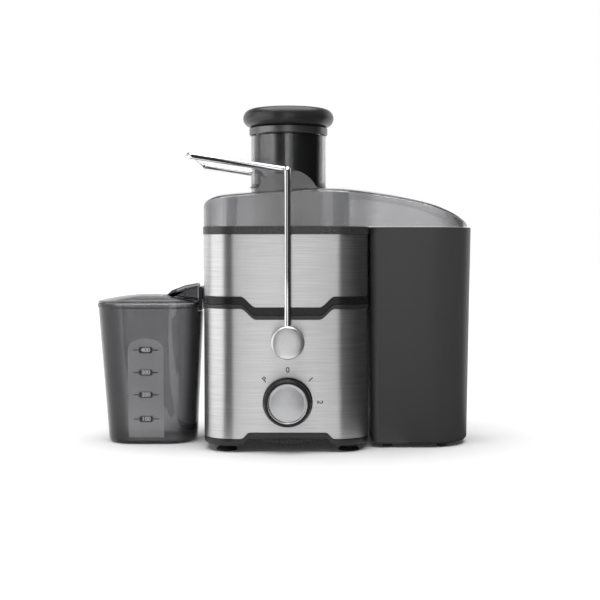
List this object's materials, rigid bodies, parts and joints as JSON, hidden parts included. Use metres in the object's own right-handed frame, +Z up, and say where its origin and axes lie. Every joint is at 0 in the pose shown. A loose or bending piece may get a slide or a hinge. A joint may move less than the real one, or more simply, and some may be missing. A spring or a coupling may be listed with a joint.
{
  "type": "centrifugal juicer",
  "caption": "Centrifugal juicer: steel-wrapped motor base, smoky lid with feed chute and pusher, wire lock arm, rotary dial, side pulp bin and docked juice jug.",
  "frame": {"origin": "middle of the whole footprint, on the worktop", "axes": "+X to the pulp bin's side, which is the longest extent; -Y to the front with the dial; +Z up"},
  "size_m": [0.413, 0.212, 0.368],
  "materials": {
    "black_plastic": "satin black moulded plastic",
    "charcoal_plastic": "fine-textured charcoal moulded plastic",
    "brushed_steel": "stainless sheet brushed along its length",
    "plated_steel": "zinc-plated steel",
    "chrome": "polished chrome-plated wire",
    "satin_silver": "satin silver",
    "smoky_clear": "smoke-tinted clear plastic",
    "dark_smoky": "dark smoke-tinted clear plastic",
    "rubber": "soft black rubber",
    "copper": "enamelled copper and brass",
    "lamination": "stacked steel laminations",
    "white_plastic": "natural nylon"
  },
  "bodies": {
    "base": {"base_bottom": "black_plastic", "base_housing": "black_plastic", "base_top_trim": "black_plastic", "collector_trim": "black_plastic", "rim_band": "black_plastic", "spout_flange": "black_plastic", "collector_bowl": "charcoal_plastic", "lower_steel_wrap": "brushed_steel", "upper_steel_wrap": "brushed_steel", "base_screw_1": "plated_steel", "base_screw_2": "plated_steel", "base_screw_3": "plated_steel", "base_screw_4": "plated_steel", "pivot_pin_front": "plated_steel", "pivot_pin_rear": "plated_steel", "motor_bracket_top": "plated_steel", "motor_bracket_bottom": "plated_steel", "bearing_top": "plated_steel", "bearing_bottom": "plated_steel", "lid_cover": "smoky_clear", "feed_chute": "smoky_clear", "lock_ramp_front": "smoky_clear", "lock_ramp_rear": "smoky_clear", "spout_nozzle": "smoky_clear", "foot_1": "rubber", "foot_2": "rubber", "foot_3": "rubber", "foot_4": "rubber", "shaft_seal": "rubber", "cord_gland": "rubber", "field_coil_left": "copper", "field_coil_right": "copper", "brush_holder_front": "copper", "brush_holder_rear": "copper", "motor_stator": "lamination", "rotary_switch": "white_plastic", "interlock_switch": "white_plastic"},
    "rotor": {"motor_shaft": "plated_steel", "armature": "lamination", "commutator": "copper", "cooling_fan": "white_plastic", "drive_coupling": "black_plastic", "filter_base": "charcoal_plastic", "filter_sieve": "brushed_steel", "filter_rim": "charcoal_plastic", "grater_disc": "brushed_steel"},
    "lock_arm": {"wire_arm": "chrome", "pivot_cap_front": "satin_silver", "pivot_cap_rear": "satin_silver"},
    "dial": {"dial_knob": "black_plastic", "dial_face": "satin_silver", "dial_shaft": "plated_steel"},
    "pusher": {"pusher_body": "dark_smoky", "pusher_cap": "black_plastic"},
    "pulp_container": {"pulp_bin": "charcoal_plastic"},
    "juice_container": {"juice_jug": "smoky_clear", "juice_jug_lid": "smoky_clear"}
  },
  "joints": [
    {"name": "rotor_spin", "type": "hinge", "parent": "base", "child": "rotor", "pos_m": [0.0055, 0, 0.1], "axis": [0, 0, 1], "continuous": true},
    {"name": "lock_arm_swing", "type": "hinge", "parent": "base", "child": "lock_arm", "pos_m": [0.0055, 0, 0.117], "axis": [0, -1, 0], "range_deg": [0, 45]},
    {"name": "dial_turn", "type": "hinge", "parent": "base", "child": "dial", "pos_m": [0.0055, -0.09, 0.0535], "axis": [0, 1, 0], "range_deg": [-45, 90]},
    {"name": "pusher_lift", "type": "slide", "parent": "base", "child": "pusher", "axis": [0, 0, 1], "range_m": [0, 0.14]},
    {"name": "pulp_bin_slide", "type": "slide", "parent": "base", "child": "pulp_container", "axis": [1, 0, 0], "range_m": [0, 0.15]},
    {"name": "juice_jug_slide", "type": "slide", "parent": "base", "child": "juice_container", "axis": [-1, 0, 0], "range_m": [0, 0.1]}
  ]
}
